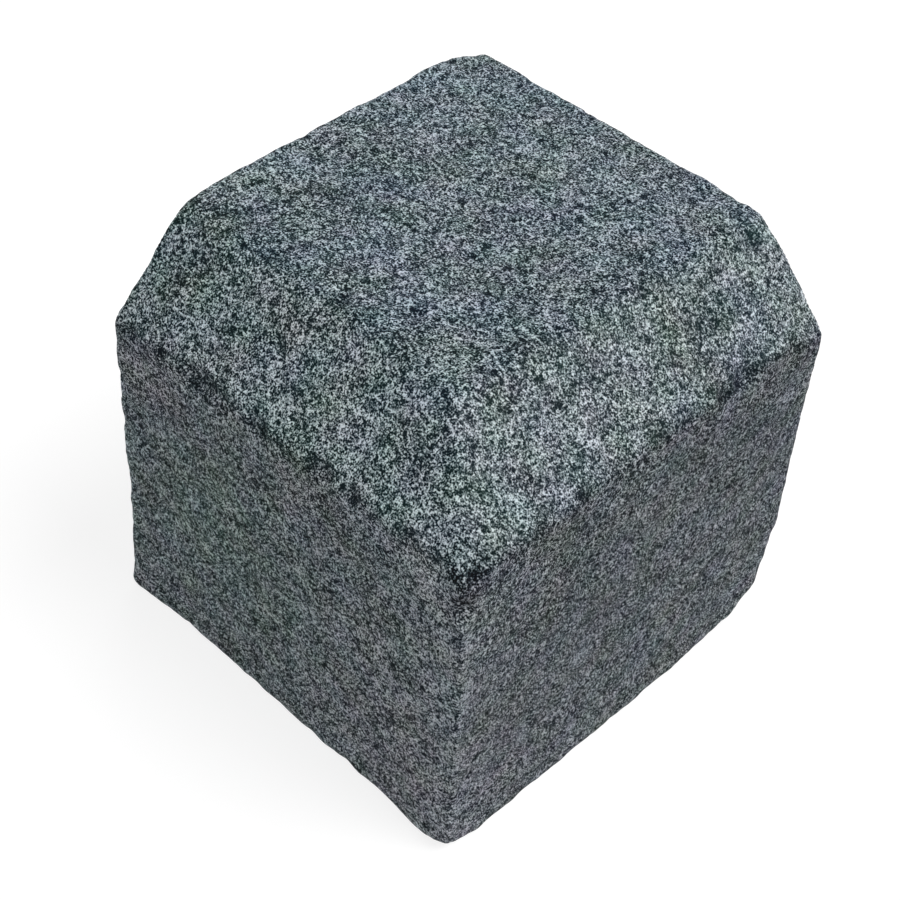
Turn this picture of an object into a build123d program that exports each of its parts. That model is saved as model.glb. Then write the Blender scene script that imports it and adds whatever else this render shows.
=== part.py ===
from build123d import *
import os
from math import sqrt

# External corner unit of a granite kerb: one block of stone, in millimetres.
# The front run's bevelled face is at -Y and the side run's at +X.
# Straight kerbs butt against the joint faces at -X and +Y.
# The origin is at the middle of the bed, and +Z is up.

# Kerb section, the same for both runs
kerb_depth = 125.0  # bevelled face to back
kerb_height = 125.0  # bed to top
bevel_width = 25.0  # across the top
bevel_drop = 24.0  # down the face

# Eased arrises
arris_radius = 3.0  # creases, mitre, bevel arrises and the outer corner below them
joint_arris_radius = 1.5  # round the joint faces and the bed

# Spalled corners: shallow bowls whose rims lie this far along the arrises
back_spall_reach = 9.0  # top corner between the two joint faces
foot_spall_reach = 13.0  # bed corner at the far end of the side run's face
spall_bowl_radius = 45.0

half_depth = kerb_depth / 2
plane_tolerance = 0.01


def lies_on_hidden_face(edge):
    """True for an edge in the plane of the bed or of a joint face."""
    box = edge.bounding_box()
    on_bed = box.max.Z < plane_tolerance
    on_front_joint = box.max.X < plane_tolerance - half_depth
    on_side_joint = box.min.Y > half_depth - plane_tolerance
    return on_bed or on_front_joint or on_side_joint


def spall_centre(corner, outward, reach):
    """Centre of the bowl that meets the three arrises of a square corner at the given reach."""
    bowl_offset = sqrt(spall_bowl_radius**2 - 2 / 3 * reach**2) - reach / sqrt(3)
    return Vector(*corner) + Vector(*outward).normalized() * bowl_offset


os.makedirs("parts", exist_ok=True)

with BuildPart() as kerb_stone:
    # Both runs have the same section, and where they overlap their bevels mitre
    front_run = Plane(origin=(-half_depth, 0, 0), x_dir=(0, 1, 0), z_dir=(1, 0, 0))
    side_run = Plane(origin=(0, -half_depth, 0), x_dir=(-1, 0, 0), z_dir=(0, 1, 0))
    for run, overlap in ((front_run, Mode.ADD), (side_run, Mode.INTERSECT)):
        with BuildSketch(run):
            with BuildLine():
                Polyline(
                    (-half_depth, 0),
                    (-half_depth, kerb_height - bevel_drop),
                    (-half_depth + bevel_width, kerb_height),
                    (half_depth, kerb_height),
                    (half_depth, 0),
                    close=True,
                )
            make_face()
        extrude(amount=kerb_depth, mode=overlap)

    exposed_arrises = edges().filter_by(lambda edge: not lies_on_hidden_face(edge))
    fillet(exposed_arrises, radius=arris_radius)
    fillet(edges().filter_by(lies_on_hidden_face), radius=joint_arris_radius)

    back_corner = (-half_depth, half_depth, kerb_height)
    with Locations(spall_centre(back_corner, (-1, 1, 1), back_spall_reach)):
        Sphere(spall_bowl_radius, mode=Mode.SUBTRACT)
    foot_corner = (half_depth, half_depth, 0)
    with Locations(spall_centre(foot_corner, (1, 1, -1), foot_spall_reach)):
        Sphere(spall_bowl_radius, mode=Mode.SUBTRACT)

kerb_stone.part.label = "kerb_stone"
export_step(kerb_stone.part, "parts/kerb_stone.step")
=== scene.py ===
import itertools
import math
from collections import namedtuple

import bpy
import numpy as np
from mathutils import Matrix, Vector


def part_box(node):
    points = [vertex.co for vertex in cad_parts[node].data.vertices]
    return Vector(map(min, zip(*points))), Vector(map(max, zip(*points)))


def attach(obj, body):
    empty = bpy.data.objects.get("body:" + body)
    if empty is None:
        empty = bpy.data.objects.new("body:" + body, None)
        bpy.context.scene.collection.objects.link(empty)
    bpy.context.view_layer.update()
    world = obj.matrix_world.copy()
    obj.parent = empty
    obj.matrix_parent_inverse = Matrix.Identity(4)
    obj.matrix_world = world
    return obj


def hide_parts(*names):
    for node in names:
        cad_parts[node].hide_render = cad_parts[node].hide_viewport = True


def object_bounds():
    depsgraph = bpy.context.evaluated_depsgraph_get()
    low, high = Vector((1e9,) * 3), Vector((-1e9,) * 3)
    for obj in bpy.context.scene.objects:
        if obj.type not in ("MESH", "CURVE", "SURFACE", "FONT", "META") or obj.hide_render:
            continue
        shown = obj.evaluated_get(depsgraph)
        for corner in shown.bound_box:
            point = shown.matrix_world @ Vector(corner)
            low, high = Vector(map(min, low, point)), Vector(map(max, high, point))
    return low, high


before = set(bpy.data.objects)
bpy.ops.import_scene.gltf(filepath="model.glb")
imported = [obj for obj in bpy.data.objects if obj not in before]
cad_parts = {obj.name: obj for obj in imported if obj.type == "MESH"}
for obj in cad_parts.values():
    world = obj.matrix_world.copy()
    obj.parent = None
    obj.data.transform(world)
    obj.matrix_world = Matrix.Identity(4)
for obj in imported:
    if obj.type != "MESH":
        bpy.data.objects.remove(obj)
cad_low, cad_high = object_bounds()

# Lengths are in millimetres until they reach Blender, which works in metres.
MM = 0.001
HALF_SIDE = (cad_high[0] - cad_low[0]) / 2 / MM  # of the block, seen from above

# Mesh of the stone
GRID = 128  # quads along each side of the block
SMALLEST_FLAT = 1000.0  # area in square millimetres of a face that counts as a flat of the block
LEVEL = 0.95  # a flat whose normal rises or falls more than this lies level
SOLVER_STEPS = 26  # halvings that find the surface along each ray
SOLVER_SPAN = (0.6, 1.08)  # shares of a ray to the block's box that the surface lies between
MAP_COLUMNS, MAP_ROWS = 3, 2  # sheets of the map, one for each side of the block
MAP_MARGIN = 0.02  # share of a sheet that is left free at each of its edges

# The ways the flats of the block face
TOP = (0, 0, 1)
FRONT = (0, -1, 0)
SIDE = (1, 0, 0)
BED = (0, 0, -1)
FRONT_RUN_JOINT = (-1, 0, 0)
SIDE_RUN_JOINT = (0, 1, 0)
FRONT_BEVEL = (0, -1, 1)
SIDE_BEVEL = (1, 0, 1)

# How the dressed flats depart from the square block: how far each one stands proud at its middle,
# and how much more at its right hand edge and at its upper edge
FLAT_LEANS = {
    TOP: (0.25, 0.85, -0.3),
    FRONT: (0.35, -0.2, -0.6),
    SIDE: (-0.15, 0.2, -0.55),
    SIDE_RUN_JOINT: (0.1, -0.6, 0.3),
    FRONT_RUN_JOINT: (-0.4, 0.0, -0.8),
    FRONT_BEVEL: (0.7, 1.2, 2.2),
    SIDE_BEVEL: (0.9, 0.9, -1.5),
}
SPARE = 0.4  # stands every flat proud, to make up for what the soft arrises take away

# How coarsely each flat is dressed, from sawn at zero to flamed at one, how strongly its grain shows, and its
# cast of red, green and blue, which is partly the stone's own cast and partly painted light and shade:
# painted lighter on the side bevel, and painted darker on the top, front and side
FLAT_LOOKS_AND_LIGHT = {
    TOP: (1.0, 0.98, (-0.058, -0.02, -0.001)),
    FRONT: (0.75, 1.0, (-0.053, -0.03, -0.02)),
    SIDE: (0.3, 0.88, (-0.044, -0.028, -0.016)),
    SIDE_RUN_JOINT: (0.3, 0.88, (-0.021, 0.0, 0.015)),
    FRONT_RUN_JOINT: (0.3, 0.88, (-0.031, 0.0, 0.009)),
    FRONT_BEVEL: (1.0, 1.0, (-0.028, 0.01, 0.016)),
    SIDE_BEVEL: (1.0, 0.82, (0.015, 0.047, 0.054)),
    BED: (0.3, 0.88, (-0.03, 0.0, 0.01)),
}
# The flats' painted light and shade pass into the next flat's in the same way.
FLAT_BLEND = 0.6  # depth over which one flat's finish passes into the next
BREAK_BLEND = 0.6  # depth over which a break's or a chip's look passes into the flat's

# Unevenness: the wavelength and the height of smooth noise, and the seed that it is drawn from
Noise = namedtuple("Noise", "wavelength height seed")
WANDERS = (Noise(46.0, 0.35, 10), Noise(17.0, 0.35, 30), Noise(7.5, 0.25, 50))  # of the flats
SOFTNESS_WANDER = Noise(9.0, 0.5, 51)  # share by which the edges' softness varies
BREAK_ROUGHNESS = (Noise(3.5, 0.45, 61), Noise(7.0, 0.4, 62))  # of chips and broken corners
DRESSING = (Noise(11.0, 0.26, 71), Noise(5.2, 0.2, 72), Noise(2.7, 0.2, 73))  # relief of flamed stone
SMALL_HOLLOWS = Noise(4.2, 1.0, 74)
HOLLOW_RAGGEDNESS = Noise(2.6, 0.45, 75)  # share by which a hollow's width varies
EDGE_MARK_WANDER = Noise(7.5, 1.1, 82)  # share by which the lines along the edges vary
NOISE_TABLE = 256  # slopes that the noise draws from
NOISE_GAIN = 1.6  # brings the noise to about -1 to 1
SAWN_RELIEF = 0.5  # share of the relief that a sawn flat keeps
BED_RELIEF = 0.2  # share of it that the bed keeps

# Softness of the edges: the smooth maximum of two flats that meet is lower by about this much
ARRIS_SOFTNESS = 0.4
CREASE_SOFTNESS = 0.75
CREASE_REACH = 12.0
CHIP_SOFTNESS = 0.3
FOOT_SOFTNESS = 0.8
FOOT_REACH = 5.0

# Swells of single flats: the flat, the middle of the swell, its reach and its height
SWELLS = (
    (FRONT, (56.0, -HALF_SIDE, 8.0), 14.0, 1.1),
    (SIDE, (HALF_SIDE, -56.0, 8.0), 14.0, 0.8),
    (FRONT, (-58.0, -HALF_SIDE, 4.0), 12.0, 0.9),
    (SIDE_BEVEL, (HALF_SIDE, HALF_SIDE, 101.0), 10.0, -1.9),
    (SIDE, (HALF_SIDE, HALF_SIDE, 97.0), 14.0, 0.6),
)
# The rounded foot and head of the nose, the upright arris of the outer corner: a place, its reach
# and its added softness
ROUNDED_PLACES = (
    ((HALF_SIDE, -HALF_SIDE, 0.0), 7.0, 1.4),
    ((58.0, -HALF_SIDE, 101.0), 14.0, 0.7),
)

# Painted light and shade along the edges: painted shade in a line along each arris, along the creases and
# along the foot, and painted light along the rounded nose, partly its own wear, and at the front's far end;
# for each line the flat that bears it, the one that it lies beside, the change of shade at the edge, and the
# reach from it
PAINTED_EDGE_LIGHT = (
    (FRONT, FRONT_BEVEL, -0.05, 3.0),
    (FRONT_BEVEL, FRONT, -0.045, 2.0),
    (SIDE, SIDE_BEVEL, -0.035, 3.0),
    (SIDE_BEVEL, SIDE, -0.06, 3.0),
    (TOP, FRONT_BEVEL, -0.09, 3.5),
    (FRONT_BEVEL, TOP, -0.04, 2.5),
    (TOP, SIDE_BEVEL, -0.03, 3.0),
    (SIDE_BEVEL, TOP, -0.05, 3.5),
    (SIDE, FRONT, 0.09, 3.5),
    (SIDE, FRONT, 0.035, 14.0),
    (FRONT, SIDE, 0.065, 18.0),
    (FRONT, SIDE, -0.04, 1.8),
    (FRONT, BED, -0.035, 3.5),
    (SIDE, BED, -0.02, 2.0),
    (FRONT, FRONT_RUN_JOINT, 0.03, 3.0),
)

# Chips along the arrises: distance from the outer corner, length, depth, and lean towards the
# second flat
CHIP_WIDTH = 4.8
FRONT_CHIPS = (
    (118.0, 7.0, 1.8, -0.7), (92.5, 14.0, 2.8, 0.4), (71.0, 9.0, 2.2, -0.3), (49.0, 9.0, 2.2, 0.2),
    (38.0, 6.0, 1.6, 0.4), (20.0, 5.0, 1.4, 0.1), (3.0, 6.0, 1.6, -0.8), (106.0, 6.0, 1.4, 0.1),
    (84.0, 5.0, 1.5, -0.4),
)
SIDE_CHIPS = (
    (97.0, 11.0, 2.8, 0.1), (89.0, 7.0, 2.0, 0.3), (74.5, 5.0, 1.2, 0.2), (66.5, 5.0, 1.4, 0.2),
    (39.5, 5.0, 1.3, 0.5), (24.5, 4.5, 1.1, 0.4), (3.5, 5.0, 1.4, 0.2), (116.0, 5.0, 1.2, -0.2),
)
NOSE_CHIPS = ((31.5, 10.0, 3.0, -0.7),)  # on the upright arris, counted from the top

# Broken corners: the corner's signs along X, Y and Z, and how far along the arrises the break
# reaches each way
BROKEN_CORNERS = (
    ((-1, 1, 1), (7.5, 11.0, 9.0)),
    ((1, 1, -1), (16.0, 6.0, 36.0)),
    ((1, 1, -1), (12.0, 19.0, 12.5)),
    ((1, 1, -1), (5.0, 45.0, 4.5)),
)

# Hollows in the top and the bevels: a place in them, seen from above, and their width and depth
HOLLOWS = (
    (-7.0, -36.5, 5.0, 1.0), (-51.0, -35.0, 5.0, 0.9), (-30.0, -36.0, 4.5, 0.8), (9.0, -26.0, 4.0, 0.7),
    (-5.0, 7.0, 4.0, 0.6), (14.0, -38.0, 4.0, 0.7), (-45.0, -46.0, 4.5, 0.8), (-14.0, -49.0, 4.0, 0.6),
    (43.0, 56.0, 4.5, 1.0), (50.0, 34.0, 4.0, 0.9), (38.0, 19.0, 4.0, 0.8), (46.0, -18.0, 4.0, 0.8),
    (50.0, 29.0, 3.5, 0.7),
)
# Painted shade in the listed hollows
HOLLOW_PAINTED_SHADE = 2.2  # for each millimetre of depth
# Small hollows lie wherever their noise is high: where they start, how far above that they are
# full, and their depth
SMALL_HOLLOW_START = 0.42
SMALL_HOLLOW_RISE = 0.3
SMALL_HOLLOW_DEPTH = 0.35

# Stains, and painted shade in the chips at the mitre: a place, its reach, and the change of red, green and
# blue there
STAINS_AND_SHADE = (
    ((-28.0, -HALF_SIDE, 52.0), 30.0, (-0.012, 0.016, -0.008)),  # green, on the front
    ((48.0, -HALF_SIDE, 20.0), 26.0, (0.018, 0.0, 0.008)),  # red, on the front by the foot of the nose
    ((-46.0, -HALF_SIDE, 92.0), 20.0, (0.016, -0.006, 0.012)),  # red, at the front's far end
    ((-50.0, -52.0, 112.0), 22.0, (-0.03, -0.016, -0.026)),  # dark, at the front bevel's far end
    # painted shade in the chip on the nose below the mitre
    ((60.5, -HALF_SIDE, 97.0), 4.5, (-0.13, -0.12, -0.115)),  # dark, on the nose below the mitre
    ((46.0, -HALF_SIDE, 42.0), 13.0, (0.026, 0.024, 0.024)),  # pale, on the front beside the nose
    ((54.0, -33.0, 110.0), 8.0, (-0.03, -0.032, -0.03)),  # dark, on the side bevel
    # painted shade in the chips at the foot of the mitre
    ((58.5, -58.5, 104.5), 6.5, (-0.125, -0.13, -0.125)),  # dark, at the foot of the mitre
    ((-48.0, -39.0, 123.0), 5.0, (0.025, 0.03, -0.005)),  # pale, at the far end of the front bevel's crease
    ((51.0, -HALF_SIDE, 98.5), 8.5, (0.09, 0.08, 0.09)),  # pale, on the front below the mitre
)
# These hold for the stains and the blotches of painted shade alike.
BLOTCH_RAGGEDNESS = 0.35  # share by which a stain's reach varies
BLOTCH_RAGGED_LENGTH = 0.6  # wavelength of that, as a share of the reach
BLOTCH_SEED = 81

# Grain of the granite: the widths of its crystals, speckles and patches
LARGE_CRYSTAL = 1.15
SMALL_CRYSTAL = 0.6
SPECKLE = 0.42
CLUMP = 4.0
PATCH = 26.0
SHAKE_LENGTH = 0.9  # wavelength of the shake that makes the crystals ragged
SHAKE_REACH = 0.5
# Dark spots in a share of cells of the given spacing: one inside the core, none outside the rim,
# which are shares of the spacing
Spots = namedtuple("Spots", "spacing share rim core")
LARGE_FLAKES = Spots(2.3, 0.3, 0.46, 0.2)
SMALL_FLAKES = Spots(1.5, 0.35, 0.46, 0.2)
# Painted shade of small pits in the flamed stone, as dark spots with no hollow under them
PIT_SHADE_SPOTS = Spots(5.0, 0.5, 0.26, 0.14)
SAWN_FLAKES = 0.4  # share of the flakes that shows on sawn stone

# What the grain and the marks add to the shade of grey, from black at zero to white at one
COARSE_SHADES = {"large": 0.32, "large_rim": 0.2, "clumps": 0.32, "patches": 0.12}
COARSE_MIDDLE = 0.484
STEADY_COARSE = 0.5  # share of the coarse grain that shows whatever the flat's own grain
FINE_SHADES = {"small": 0.55, "small_rim": 0.55, "speckle": 1.5}
FINE_MIDDLE = 1.275
# The pits, hollows and chips darken with painted shade, and the edges carry painted light and shade.
MARK_SHADES = {"flakes": -0.2, "painted_pit_shade": -0.3, "hollow": -0.12, "broken": -0.05, "painted_chip_shade": -0.17, "painted_edges": 1.0}
PLAIN_SHADE = 0.388
LIGHTEST, LIGHTEST_BLEND = 0.86, 0.25
DARKEST, DARKEST_BLEND = 0.1, 0.24

# Colour over the grey: one cast all over, and bluer and redder patches with their wavelengths
PLAIN_CAST = (-0.02, 0.018, -0.035)
BLUE_LENGTH, BLUE_CAST = 13.0, (-0.03, -0.01, 0.05)
RED_LENGTH, RED_CAST = 8.0, (0.045, -0.03, 0.03)
DISPLAY_GAMMA = 2.2

# Surface of the granite
ROUGHNESS = 0.85
SPECULAR_LEVEL = 0.12
BUMP_STRENGTH = 0.6
BUMP_DEPTH = 0.2

# Studio
WHITE = (1.0, 1.0, 1.0, 1.0)
FLOOR_PAINT = (0.3, 0.3, 0.3, 1.0)
FLOOR_GLOW = 0.8
FLOOR_REACH = 6.0  # in metres
SURROUND_LIGHT = 0.15  # of the white surround, on the stone
# Lamps: azimuth, elevation and spread in degrees, and strength
LAMPS = {
    "key": (122.0, 56.0, 36.0, 2.35),
    "fill": (3.0, 25.0, 40.0, 1.03),
    "back": (215.0, 10.0, 40.0, 0.8),
}

# Camera, fitted to the stone's outline
CAMERA_TARGET = Vector((2.7, -6.5, 62.5))
CAMERA_DISTANCE = 517.2
CAMERA_AZIMUTH = 43.3
CAMERA_ELEVATION = 45.6
CAMERA_ROLL = 2.84
CAMERA_LENS = 79.0
CAMERA_SENSOR = 36.0


def gradient_noise(points, wavelength, seed):
    """Smooth noise from about -1 to 1 at each point, with features of about the wavelength's size."""
    rng = np.random.default_rng(seed)
    shuffle = rng.permutation(NOISE_TABLE)
    slopes = rng.normal(size=(NOISE_TABLE, 3))
    slopes /= np.linalg.norm(slopes, axis=1, keepdims=True)
    scaled = np.atleast_2d(points) / wavelength
    cell = np.floor(scaled).astype(int)
    within = scaled - cell
    fade = within**3 * (within * (within * 6 - 15) + 10)
    total = np.zeros(len(scaled))
    for corner in itertools.product((0, 1), repeat=3):
        index = np.zeros(len(scaled), int)
        for axis in range(3):
            index = shuffle[(index + cell[:, axis] + corner[axis]) % NOISE_TABLE]
        weight = np.prod(np.where(corner, fade, 1 - fade), axis=1)
        total += weight * np.einsum("ij,ij->i", within - corner, slopes[index])
    return total * NOISE_GAIN


def unevenness(points, noise, variant=0):
    """Height of one kind of unevenness at each point."""
    return noise.height * gradient_noise(points, noise.wavelength, noise.seed + variant)


def distance_from(points, place):
    """Distance of each point from a place."""
    return np.linalg.norm(points - np.array(place), axis=1)


def fall_off(distance, reach):
    """One at no distance, falling off smoothly over the reach."""
    return np.exp(-((distance / reach) ** 2))


def smooth_max(values, softness):
    """Largest value in each row, rounded off where two come close."""
    top = values.max(axis=1, keepdims=True)
    spread = np.exp((values - top) / np.reshape(softness, (-1, 1)))
    return top[:, 0] + softness * np.log(spread.sum(axis=1))


class Flat:
    """One dressed face of the block: a plane that leans and wanders a little."""

    def __init__(self, normal, offset, middle, seed):
        self.normal = normal
        self.offset = offset
        self.middle = middle
        self.seed = seed
        self.proud = 0.0
        self.lean_along = 0.0
        self.lean_up = 0.0
        self.swells = []
        self.rests = normal[2] < -LEVEL
        if abs(normal[2]) > LEVEL:
            self.along = np.array([1.0, 0.0, 0.0])
            self.up = np.array([0.0, 1.0, 0.0])
        else:
            self.along = np.cross([0.0, 0.0, 1.0], normal)
            self.along /= np.linalg.norm(self.along)
            self.up = np.cross(normal, self.along)

    def depth(self, points):
        """How deep each point lies below the sharp face."""
        return self.offset - points @ self.normal

    def departure(self, points):
        """How far the dressed face stands off the sharp one, abreast of each point."""
        if self.rests:
            return np.zeros(len(points))
        away = points - self.middle
        lean = (away @ self.along * self.lean_along + away @ self.up * self.lean_up) / HALF_SIDE
        wander = sum(unevenness(points, noise, self.seed) for noise in WANDERS)
        for place, reach, height in self.swells:
            wander += height * fall_off(distance_from(points, place), reach)
        return SPARE + self.proud + lean + wander


class Block:
    """The flats of the stone, found on the CAD solid and leant as the dressed stone's are."""

    def __init__(self, node):
        self.flats = []
        for area, moment, (normal, offset) in self.planes(node):
            if area > SMALLEST_FLAT:
                self.flats.append(Flat(normal, offset, moment / area, len(self.flats)))
        self.normals = np.array([flat.normal for flat in self.flats])
        self.offsets = np.array([flat.offset for flat in self.flats])
        for direction, (proud, lean_along, lean_up) in FLAT_LEANS.items():
            flat = self.facing(direction)
            flat.proud = proud
            flat.lean_along = lean_along
            flat.lean_up = lean_up
        for direction, *swell in SWELLS:
            self.facing(direction).swells.append(swell)

    @staticmethod
    def planes(node):
        """Area, moment of area, and normal and offset of each plane that the CAD solid's faces lie on."""
        planes = {}
        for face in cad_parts[node].data.polygons:
            offset = face.normal.dot(face.center) / MM
            key = (*(round(c, 2) for c in face.normal), round(offset, 1))
            total, moment, _ = planes.get(key, (0.0, np.zeros(3), None))
            area = face.area / MM**2
            moment = moment + area * np.array(face.center) / MM
            planes[key] = (total + area, moment, (np.array(face.normal), offset))
        return planes.values()

    def index(self, direction):
        """Number of the flat that faces a direction best."""
        return int(np.argmax(self.normals @ np.array(direction, float)))

    def facing(self, direction):
        """The flat that faces a direction best."""
        return self.flats[self.index(direction)]

    def arris_point(self, first, second, across, distance):
        """A point on the dressed arris of two flats, at a distance inward from a third."""
        rows = np.array([first.normal, second.normal, across.normal])
        levels = np.array([first.offset, second.offset, across.offset - distance])
        sharp = np.linalg.solve(rows, levels)
        levels[0] += first.departure(sharp[None])[0]
        levels[1] += second.departure(sharp[None])[0]
        return np.linalg.solve(rows, levels)

    def sharp_points(self, middle, rays):
        """Where each ray from the middle leaves the sharp block."""
        with np.errstate(divide="ignore"):
            shares = (self.offsets - self.normals @ middle) / (rays @ self.normals.T)
        shares[shares <= 0] = np.inf
        return middle + rays * shares.min(axis=1, keepdims=True)


class Chip:
    """A bite out of an arris: an ellipsoid that leaves a hollow of the given length and depth."""

    def __init__(self, place, along, outward, length, depth):
        self.along = along
        self.outward = outward
        self.upward = np.cross(along, outward)
        self.centre = place + outward * (CHIP_WIDTH - depth)
        self.half_length = length / 2 / math.sqrt(1 - (1 - depth / CHIP_WIDTH) ** 2)

    def inside(self, points):
        """How deep each point lies inside the bite, about in millimetres."""
        away = points - self.centre
        along = away @ self.along / self.half_length
        outward = away @ self.outward / CHIP_WIDTH
        upward = away @ self.upward / CHIP_WIDTH
        return CHIP_WIDTH * (1 - np.sqrt(along**2 + outward**2 + upward**2))


def arris_chips(block, first, second, across, chips):
    """Chips along the arris between two flats, counted from a third."""
    first, second, across = block.facing(first), block.facing(second), block.facing(across)
    along = np.cross(first.normal, second.normal)
    along /= np.linalg.norm(along)
    made = []
    for distance, length, depth, lean in chips:
        outward = first.normal * (1 - lean / 2) + second.normal * (1 + lean / 2)
        outward = outward / np.linalg.norm(outward)
        place = block.arris_point(first, second, across, distance)
        made.append(Chip(place, along, outward, length, depth))
    return made


def broken_corners(middle, half):
    """Normals and offsets of the planes that the broken corners lie on."""
    normals, offsets = [], []
    for signs, reaches in BROKEN_CORNERS:
        corner = middle + half * signs
        normal = np.array(signs) / np.array(reaches)
        normal /= np.linalg.norm(normal)
        normals.append(normal)
        offsets.append(normal @ (corner - np.array([signs[0] * reaches[0], 0, 0])))
    return np.array(normals), np.array(offsets)


def block_grid():
    """Lattice points over a cube's surface from -1 to 1, its quads, and each quad corner's place on a map."""
    steps = np.arange(GRID + 1)
    across, up = (a.ravel() for a in np.meshgrid(steps, steps, indexing="ij"))
    corner = np.arange((GRID + 1) ** 2).reshape(GRID + 1, GRID + 1)
    quads = np.stack([corner[:-1, :-1], corner[1:, :-1], corner[1:, 1:], corner[:-1, 1:]], -1).reshape(-1, 4)
    used = 1 - 2 * MAP_MARGIN
    lattice, faces, places = [], [], []
    for sheet, (axis, level) in enumerate(itertools.product(range(3), (0, GRID))):
        points = np.zeros((len(across), 3), int)
        points[:, axis] = level
        points[:, (axis + 1) % 3] = across
        points[:, (axis + 2) % 3] = up
        order = quads if level else quads[:, ::-1]
        column, row = sheet % MAP_COLUMNS, sheet // MAP_COLUMNS
        map_across = (column + MAP_MARGIN + used * across / GRID) / MAP_COLUMNS
        map_up = (row + MAP_MARGIN + used * up / GRID) / MAP_ROWS
        faces.append(order + len(lattice) * len(across))
        places.append(np.stack([map_across, map_up], -1)[order])
        lattice.append(points)
    lattice, merged = np.unique(np.concatenate(lattice), axis=0, return_inverse=True)
    return lattice * 2 / GRID - 1, merged.ravel()[np.concatenate(faces)], np.concatenate(places)


def surface_normals(points, quads):
    """Unit normal at each point of a quad mesh."""
    a, b, c, d = (points[quads[:, k]] for k in range(4))
    turned = np.cross(c - a, d - b)
    normals = np.zeros_like(points)
    for k in range(4):
        np.add.at(normals, quads[:, k], turned)
    return normals / np.linalg.norm(normals, axis=1, keepdims=True)


def edge_softness(block, sharp, foot):
    """How soft the edges are abreast of each point: softer at creases, the foot and the rounded places."""
    off_top = block.facing(TOP).depth(sharp)
    off_bevels = np.minimum(block.facing(FRONT_BEVEL).depth(sharp), block.facing(SIDE_BEVEL).depth(sharp))
    near_crease = 1 - np.clip(np.maximum(off_top, off_bevels) / CREASE_REACH, 0, 1)
    near_foot = 1 - np.clip((sharp[:, 2] - foot) / FOOT_REACH, 0, 1)
    softness = ARRIS_SOFTNESS + (CREASE_SOFTNESS - ARRIS_SOFTNESS) * near_crease
    softness += (FOOT_SOFTNESS - ARRIS_SOFTNESS) * near_foot
    for place, reach, added in ROUNDED_PLACES:
        softness += added * fall_off(distance_from(sharp, place), reach)
    return softness * (1 + unevenness(sharp, SOFTNESS_WANDER))


def flat_shares(flats):
    """Share of each flat in the finish and in the painted light and shade at each point, from the point's
    heights over the flats.
    """
    share = np.exp((flats - flats.max(axis=1, keepdims=True)) / FLAT_BLEND)
    return share / share.sum(axis=1, keepdims=True)


def flat_looks(block, points, share):
    """How dressed and grainy each point is, and its cast of colour with painted light and shade, blended from
    the flats and from the stains and painted shade of the blotches.
    """
    dressed, grain, tint_and_painted_light = np.zeros(len(points)), np.zeros(len(points)), np.zeros((len(points), 3))
    # Each flat's cast holds painted light and shade as well as its own colour.
    for direction, (dressing, graining, cast) in FLAT_LOOKS_AND_LIGHT.items():
        weight = share[:, block.index(direction)]
        dressed += weight * dressing
        grain += weight * graining
        tint_and_painted_light += weight[:, None] * np.array(cast)
    for place, reach, change in STAINS_AND_SHADE:
        ragged = Noise(reach * BLOTCH_RAGGED_LENGTH, BLOTCH_RAGGEDNESS, BLOTCH_SEED)
        distance = distance_from(points, place) * (1 + unevenness(points, ragged))
        tint_and_painted_light += fall_off(distance, reach)[:, None] * np.array(change)
    return dressed, grain, tint_and_painted_light


def painted_edge_light_and_shade(block, points, flats, share):
    """Painted light and shade along the edges, uneven as the edges are."""
    uneven = np.maximum(1 + unevenness(points, EDGE_MARK_WANDER), 0)
    shade = np.zeros(len(points))
    for bearing, beside, change, reach in PAINTED_EDGE_LIGHT:
        a, b = block.index(bearing), block.index(beside)
        turn = np.linalg.norm(np.cross(block.normals[a], block.normals[b]))
        distance = np.maximum(-flats[:, b], 0) / turn
        shade += share[:, a] * change * uneven * fall_off(distance, reach)
    return shade


def hollows(points, facing):
    """Depth of the hollows at each point, and the painted shade that darkens them there."""
    small = np.clip((unevenness(points, SMALL_HOLLOWS) - SMALL_HOLLOW_START) / SMALL_HOLLOW_RISE, 0, 1)
    # The small hollows take painted shade as they fill, and the listed ones as deep as they are
    depth, dark = SMALL_HOLLOW_DEPTH * small, small
    ragged = 1 + unevenness(points, HOLLOW_RAGGEDNESS)
    upward = np.clip(facing[:, 2] * 2, 0, 1)
    for x, y, width, deep in HOLLOWS:
        away = np.hypot(points[:, 0] - x, points[:, 1] - y) * ragged
        bowl = fall_off(away, width / 2) * upward
        depth = np.maximum(depth, deep * bowl)
        dark = np.maximum(dark, HOLLOW_PAINTED_SHADE * deep * bowl)
    return depth, dark


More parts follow.
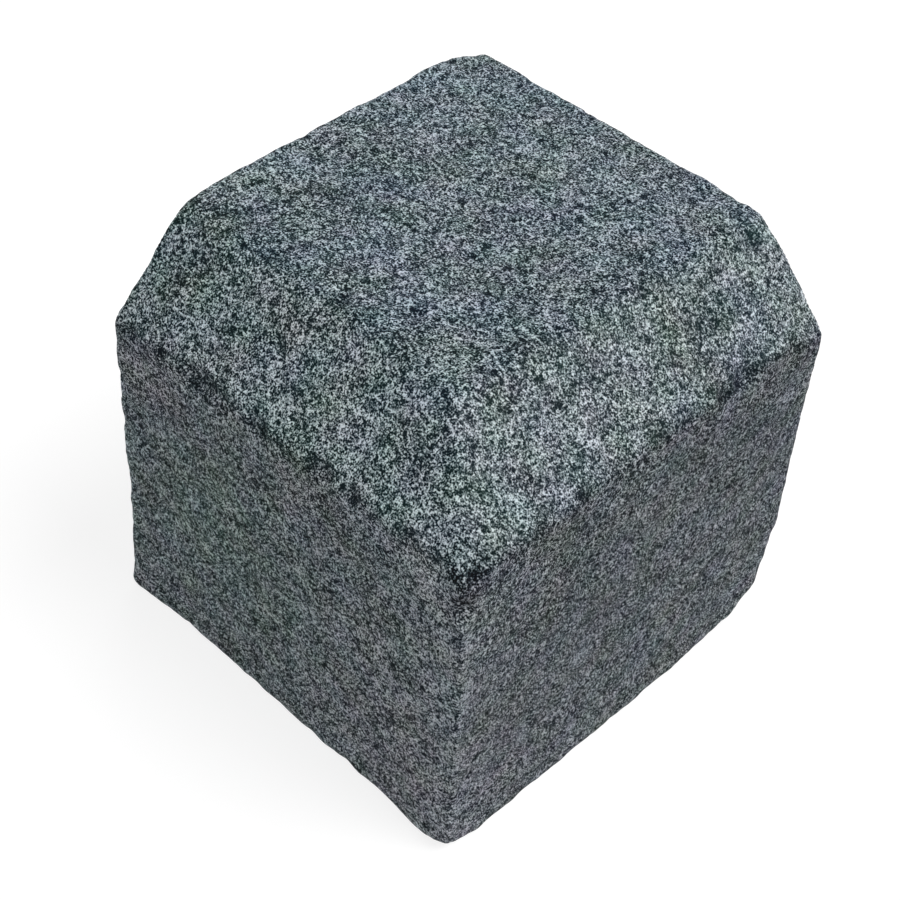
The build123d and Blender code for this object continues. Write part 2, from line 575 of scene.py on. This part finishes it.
def stone_shape():
    """Points, quads and map places of the stone, and the looks that its material reads at each point."""
    block = Block("kerb_stone")
    low, high = (np.array(corner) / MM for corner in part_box("kerb_stone"))
    middle, half = (low + high) / 2, (high - low) / 2
    lattice, quads, places = block_grid()
    rays = lattice * half

    chips = arris_chips(block, FRONT, FRONT_BEVEL, SIDE, FRONT_CHIPS)
    chips += arris_chips(block, SIDE, SIDE_BEVEL, FRONT, SIDE_CHIPS)
    chips += arris_chips(block, FRONT, SIDE, TOP, NOSE_CHIPS)
    break_normals, break_offsets = broken_corners(middle, half)

    # Unevenness is looked up where each ray leaves the sharp block
    sharp = block.sharp_points(middle, rays)
    departures = np.stack([flat.departure(sharp) for flat in block.flats], -1)
    rough = sum(unevenness(sharp, noise) for noise in BREAK_ROUGHNESS)
    softness = edge_softness(block, sharp, low[2])

    def heights_over(points):
        """Heights of points over the dressed block, over each of its flats, its breaks and its chips."""
        flats = points @ block.normals.T - block.offsets - departures
        breaks = (points @ break_normals.T - break_offsets).max(axis=1) + rough
        bites = np.max([chip.inside(points) for chip in chips], axis=0) + rough
        return smooth_max(flats, softness), flats, breaks, bites

    inner, outer = (np.full(len(rays), share) for share in SOLVER_SPAN)
    for _ in range(SOLVER_STEPS):
        share = (inner + outer) / 2
        whole, _, breaks, bites = heights_over(middle + rays * share[:, None])
        outside = smooth_max(np.stack([whole, breaks, bites], -1), np.full(len(rays), CHIP_SOFTNESS)) > 0
        outer = np.where(outside, share, outer)
        inner = np.where(outside, inner, share)
    points = middle + rays * ((inner + outer) / 2)[:, None]

    _, flats, breaks, bites = heights_over(points)
    facing = surface_normals(points, quads)
    share = flat_shares(flats)
    dressed, grain, tint_and_painted_light = flat_looks(block, points, share)
    depth, hollow = hollows(points, facing)
    looks = {
        "dressed": dressed,
        "grain": grain,
        "tint_and_painted_light": tint_and_painted_light,
        # painted shade in the hollows
        "hollow": hollow,
        # painted light and shade along the edges
        "painted_edges": painted_edge_light_and_shade(block, points, flats, share),
        "broken": np.clip(1 + breaks / BREAK_BLEND, 0, 1),
        # painted shade in the hollows of the chips
        "painted_chip_shade": np.clip(1 + bites / BREAK_BLEND, 0, 1),
    }

    bedded = np.clip(-facing[:, 2] * 2 - 1, 0, 1)
    relief = sum(unevenness(points, noise) for noise in DRESSING) - depth
    relief *= SAWN_RELIEF + (1 - SAWN_RELIEF) * dressed
    relief *= 1 - (1 - BED_RELIEF) * bedded
    points = points + facing * relief[:, None]
    points[:, 2] = np.maximum(points[:, 2], low[2])
    return points, quads, places, looks


def make_stone():
    """The stone's mesh object, with its map and its point attributes."""
    points, quads, places, looks = stone_shape()
    mesh = bpy.data.meshes.new("kerb_stone_surface")
    mesh.from_pydata((points * MM).tolist(), [], quads.tolist())
    mesh.polygons.foreach_set("use_smooth", np.ones(len(quads), bool))
    layer = mesh.uv_layers.new(name="OFBake")
    layer.uv.foreach_set("vector", places.reshape(-1).astype(np.float32))
    for name, values in looks.items():
        values = values.astype(np.float32)
        if values.ndim == 1:
            mesh.attributes.new(name, "FLOAT", "POINT").data.foreach_set("value", values)
        else:
            mesh.attributes.new(name, "FLOAT_VECTOR", "POINT").data.foreach_set("vector", values.ravel())
    mesh.update()
    stone = bpy.data.objects.new("granite_block", mesh)
    bpy.context.scene.collection.objects.link(stone)
    return stone


class Nodes:
    """Short ways to add and join the nodes of one material or world."""

    def __init__(self, owner):
        owner.use_nodes = True
        self.tree = owner.node_tree
        self.tree.nodes.clear()

    def add(self, kind, **settings):
        """Adds a shader node with some of its settings."""
        node = self.tree.nodes.new("ShaderNode" + kind)
        for name, value in settings.items():
            setattr(node, name, value)
        return node

    def join(self, source, target):
        """Links one socket to another."""
        self.tree.links.new(source, target)

    def feed(self, socket, value):
        """Gives a socket a link or a constant."""
        if isinstance(value, bpy.types.NodeSocket):
            self.join(value, socket)
        else:
            socket.default_value = value

    def maths(self, operation, first, second=0.0, third=0.0):
        """Result of a sum on up to three values."""
        node = self.add("Math", operation=operation)
        for socket, value in zip(node.inputs, (first, second, third)):
            self.feed(socket, value)
        return node.outputs[0]

    def vector_maths(self, operation, *values):
        """Result of a sum on vectors."""
        node = self.add("VectorMath", operation=operation)
        for socket, value in zip(node.inputs, values):
            self.feed(socket, value)
        return node.outputs[0]

    def attribute(self, name):
        """A number that the mesh holds at each point."""
        return self.add("Attribute", attribute_name=name).outputs["Fac"]

    def noise(self, vector, wavelength, detail):
        """A noise texture of the given wavelength."""
        node = self.add("TexNoise")
        self.join(vector, node.inputs["Vector"])
        node.inputs["Scale"].default_value = 1 / (wavelength * MM)
        node.inputs["Detail"].default_value = detail
        return node

    def crystals(self, vector, size):
        """A random value for each crystal, and the distance from its middle."""
        node = self.add("TexVoronoi")
        self.join(vector, node.inputs["Vector"])
        node.inputs["Scale"].default_value = 1 / (size * MM)
        split = self.add("SeparateColor")
        self.join(node.outputs["Color"], split.inputs[0])
        return split.outputs[0], node.outputs["Distance"]

    def spots(self, vector, kind):
        """One in the core of a share of the cells, falling off to zero at the rim."""
        value, distance = self.crystals(vector, kind.spacing)
        chosen = self.maths("LESS_THAN", value, kind.share)
        spot = self.add("MapRange", interpolation_type="SMOOTHSTEP")
        self.join(distance, spot.inputs["Value"])
        spot.inputs["From Min"].default_value = kind.rim
        spot.inputs["From Max"].default_value = kind.core
        return self.maths("MULTIPLY", chosen, spot.outputs["Result"])

    def weighted_sum(self, values, weights, start):
        """Adds up values times the weights of the same names, from a start."""
        total = start
        for name, weight in weights.items():
            total = self.maths("MULTIPLY_ADD", values[name], weight, total)
        return total


def coarse_grain(nodes, place, shaken):
    """Shade of the large crystals and the clumps and patches that they lie in, about zero."""
    large, large_rim = nodes.crystals(shaken, LARGE_CRYSTAL)
    grains = {
        "large": large,
        "large_rim": large_rim,
        "clumps": nodes.noise(place, CLUMP, detail=2.0).outputs["Fac"],
        "patches": nodes.noise(place, PATCH, detail=1.0).outputs["Fac"],
    }
    coarse = nodes.weighted_sum(grains, COARSE_SHADES, -COARSE_MIDDLE)
    strength = nodes.maths("MULTIPLY_ADD", nodes.attribute("grain"), 1 - STEADY_COARSE, STEADY_COARSE)
    return nodes.maths("MULTIPLY", coarse, strength)


def fine_grain(nodes, place, shaken):
    """Shade of the small crystals and the speckle, about zero, before the flat's strength of grain."""
    small, small_rim = nodes.crystals(shaken, SMALL_CRYSTAL)
    speckle = nodes.noise(place, SPECKLE, detail=0.0).outputs["Fac"]
    grains = {"small": small, "small_rim": small_rim, "speckle": speckle}
    return nodes.weighted_sum(grains, FINE_SHADES, -FINE_MIDDLE)


def marked_shade(nodes, shaken):
    """Plain shade of the stone with its flakes and breaks, with painted shade in its pits, hollows and chips,
    and painted light and shade along its edges.
    """
    dressed = nodes.attribute("dressed")
    flakes = nodes.maths("ADD", nodes.spots(shaken, LARGE_FLAKES), nodes.spots(shaken, SMALL_FLAKES))
    showing = nodes.maths("MULTIPLY_ADD", dressed, 1 - SAWN_FLAKES, SAWN_FLAKES)
    marks = {name: nodes.attribute(name) for name in ("hollow", "broken", "painted_chip_shade", "painted_edges")}
    marks["flakes"] = nodes.maths("MULTIPLY", flakes, showing)
    marks["painted_pit_shade"] = nodes.maths("MULTIPLY", nodes.spots(shaken, PIT_SHADE_SPOTS), dressed)
    return nodes.weighted_sum(marks, MARK_SHADES, PLAIN_SHADE)


def granite_colour(nodes, place, shade):
    """Colour of a shade of the stone: a cast over the grey, bluer in some patches and redder in others, with
    each flat's cast and painted light and shade, and the stains and painted shade of the blotches.
    """
    blue = nodes.noise(place, BLUE_LENGTH, detail=1.0).outputs["Fac"]
    red = nodes.noise(place, RED_LENGTH, detail=1.0).outputs["Fac"]
    tint_and_painted_light = nodes.add("Attribute", attribute_name="tint_and_painted_light").outputs["Vector"]
    colour = nodes.vector_maths("MULTIPLY_ADD", blue, BLUE_CAST, shade)
    colour = nodes.vector_maths("MULTIPLY_ADD", red, RED_CAST, colour)
    colour = nodes.vector_maths("ADD", colour, tint_and_painted_light)
    colour = nodes.vector_maths("ADD", colour, PLAIN_CAST)
    gamma = nodes.add("Gamma")
    gamma.inputs["Gamma"].default_value = DISPLAY_GAMMA
    nodes.join(colour, gamma.inputs["Color"])
    return gamma.outputs["Color"]


def granite_material():
    """Fine grey granite: light and dark crystals about a millimetre across, with faint patches of colour."""
    material = bpy.data.materials.new("granite")
    nodes = Nodes(material)
    place = nodes.add("TexCoord").outputs["Object"]
    shake = nodes.noise(place, SHAKE_LENGTH, detail=2.0).outputs["Color"]
    shaken = nodes.vector_maths("MULTIPLY_ADD", shake, (SHAKE_REACH * MM,) * 3, place)

    coarse = coarse_grain(nodes, place, shaken)
    fine = fine_grain(nodes, place, shaken)
    grain = nodes.maths("MULTIPLY_ADD", fine, nodes.attribute("grain"), coarse)
    shade = nodes.maths("ADD", grain, marked_shade(nodes, shaken))
    shade = nodes.maths("SMOOTH_MIN", shade, LIGHTEST, LIGHTEST_BLEND)
    shade = nodes.maths("SMOOTH_MAX", shade, DARKEST, DARKEST_BLEND)

    shader = nodes.add("BsdfPrincipled")
    nodes.join(granite_colour(nodes, place, shade), shader.inputs["Base Color"])
    shader.inputs["Roughness"].default_value = ROUGHNESS
    shader.inputs["Specular IOR Level"].default_value = SPECULAR_LEVEL
    bump = nodes.add("Bump")
    bump.inputs["Strength"].default_value = BUMP_STRENGTH
    bump.inputs["Distance"].default_value = BUMP_DEPTH * MM
    nodes.join(coarse, bump.inputs["Height"])
    nodes.join(bump.outputs["Normal"], shader.inputs["Normal"])
    nodes.join(shader.outputs["BSDF"], nodes.add("OutputMaterial").inputs["Surface"])
    return material


def background_rays(nodes):
    """One for the rays that show the background: from the camera, off a reflection or through glass."""
    path = nodes.add("LightPath")
    seen = nodes.maths("MAXIMUM", path.outputs["Is Camera Ray"], path.outputs["Is Glossy Ray"])
    return nodes.maths("MAXIMUM", seen, path.outputs["Is Transmission Ray"])


def floor_material():
    """Grey paint that takes the shadow, with a glow that shows the floor as white."""
    material = bpy.data.materials.new("studio_floor")
    nodes = Nodes(material)
    paint = nodes.add("BsdfDiffuse")
    paint.inputs["Color"].default_value = FLOOR_PAINT
    glow = nodes.add("Emission")
    glow.inputs["Color"].default_value = WHITE
    nodes.feed(glow.inputs["Strength"], nodes.maths("MULTIPLY", background_rays(nodes), FLOOR_GLOW))
    both = nodes.add("AddShader")
    nodes.join(paint.outputs[0], both.inputs[0])
    nodes.join(glow.outputs[0], both.inputs[1])
    nodes.join(both.outputs[0], nodes.add("OutputMaterial").inputs["Surface"])
    return material


def make_floor():
    """A white floor that shows the stone's soft shadow."""
    corners = [(x, y, 0.0) for x, y in ((-1, -1), (1, -1), (1, 1), (-1, 1))]
    mesh = bpy.data.meshes.new("studio_floor")
    mesh.from_pydata((FLOOR_REACH * np.array(corners)).tolist(), [], [(0, 1, 2, 3)])
    mesh.materials.append(floor_material())
    floor = bpy.data.objects.new("studio_floor", mesh)
    bpy.context.scene.collection.objects.link(floor)


def make_surround():
    """A surround that shows as white and lights the stone a little from all sides."""
    world = bpy.data.worlds.new("studio")
    bpy.context.scene.world = world
    nodes = Nodes(world)
    backdrop = nodes.add("Background")
    backdrop.inputs["Color"].default_value = WHITE
    strength = nodes.maths("MULTIPLY_ADD", background_rays(nodes), 1 - SURROUND_LIGHT, SURROUND_LIGHT)
    nodes.feed(backdrop.inputs["Strength"], strength)
    nodes.join(backdrop.outputs[0], nodes.add("OutputWorld").inputs["Surface"])


def direction_at(azimuth, elevation):
    """Unit vector towards an azimuth, counted from the front, and an elevation, in degrees."""
    a, e = math.radians(azimuth), math.radians(elevation)
    return Vector((math.sin(a) * math.cos(e), -math.cos(a) * math.cos(e), math.sin(e)))


def make_lamp(name, azimuth, elevation, spread, strength):
    """A soft white lamp so far off that it lights the stone and the whole floor alike."""
    lamp = bpy.data.lights.new(name, "SUN")
    lamp.angle = math.radians(spread)
    lamp.energy = strength
    light = bpy.data.objects.new(name, lamp)
    back = direction_at(azimuth, elevation)
    light.location = back
    light.rotation_euler = back.to_track_quat("Z", "Y").to_euler()
    bpy.context.scene.collection.objects.link(light)


def make_camera():
    """The camera of the fitted view, with its small roll."""
    camera = bpy.data.objects.new("camera", bpy.data.cameras.new("camera"))
    camera.data.sensor_width = CAMERA_SENSOR
    camera.data.lens = CAMERA_LENS
    back = direction_at(CAMERA_AZIMUTH, CAMERA_ELEVATION)
    roll = Matrix.Rotation(math.radians(CAMERA_ROLL), 3, "Z").to_quaternion()
    camera.location = (CAMERA_TARGET + back * CAMERA_DISTANCE) * MM
    camera.rotation_euler = (back.to_track_quat("Z", "Y") @ roll).to_euler()
    bpy.context.scene.collection.objects.link(camera)
    bpy.context.scene.camera = camera


stone = make_stone()
stone.data.materials.append(granite_material())
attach(stone, "root")
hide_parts("kerb_stone")

make_floor()
make_surround()
for lamp_name, lamp_values in LAMPS.items():
    make_lamp(lamp_name, *lamp_values)
make_camera()
bpy.context.scene.view_settings.view_transform = "Standard"
